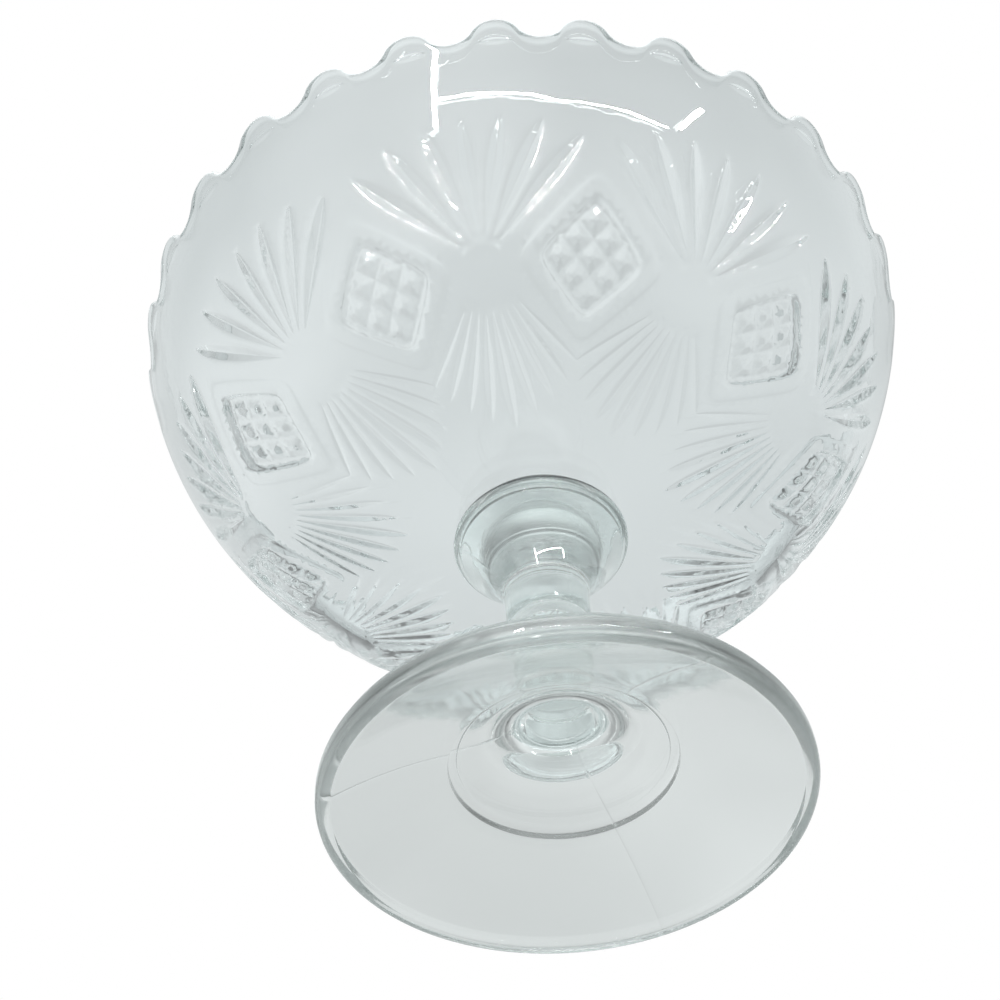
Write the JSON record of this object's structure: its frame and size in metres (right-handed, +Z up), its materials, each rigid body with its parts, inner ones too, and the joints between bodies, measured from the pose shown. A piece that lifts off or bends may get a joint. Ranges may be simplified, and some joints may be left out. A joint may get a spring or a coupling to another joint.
{
  "type": "footed compote bowl",
  "caption": "Clear pressed-glass compote: a scalloped bowl with fan and diamond relief, joined by a wafer of glass to a waisted stem with a domed round foot.",
  "frame": {"origin": "middle of the foot's resting plane", "axes": "+Z up along the stem's axis through the bowl; -Y through the heart of one fan"},
  "size_m": [0.203, 0.2022, 0.151],
  "materials": {
    "bowl_glass": "clear pressed glass, fire-polished",
    "joint_glass": "clear pressed glass, fire-polished",
    "base_glass": "clear pressed glass, fire-polished"
  },
  "bodies": {
    "root": {"bowl": "bowl_glass", "joining_wafer": "joint_glass", "base": "base_glass"}
  },
  "joints": []
}
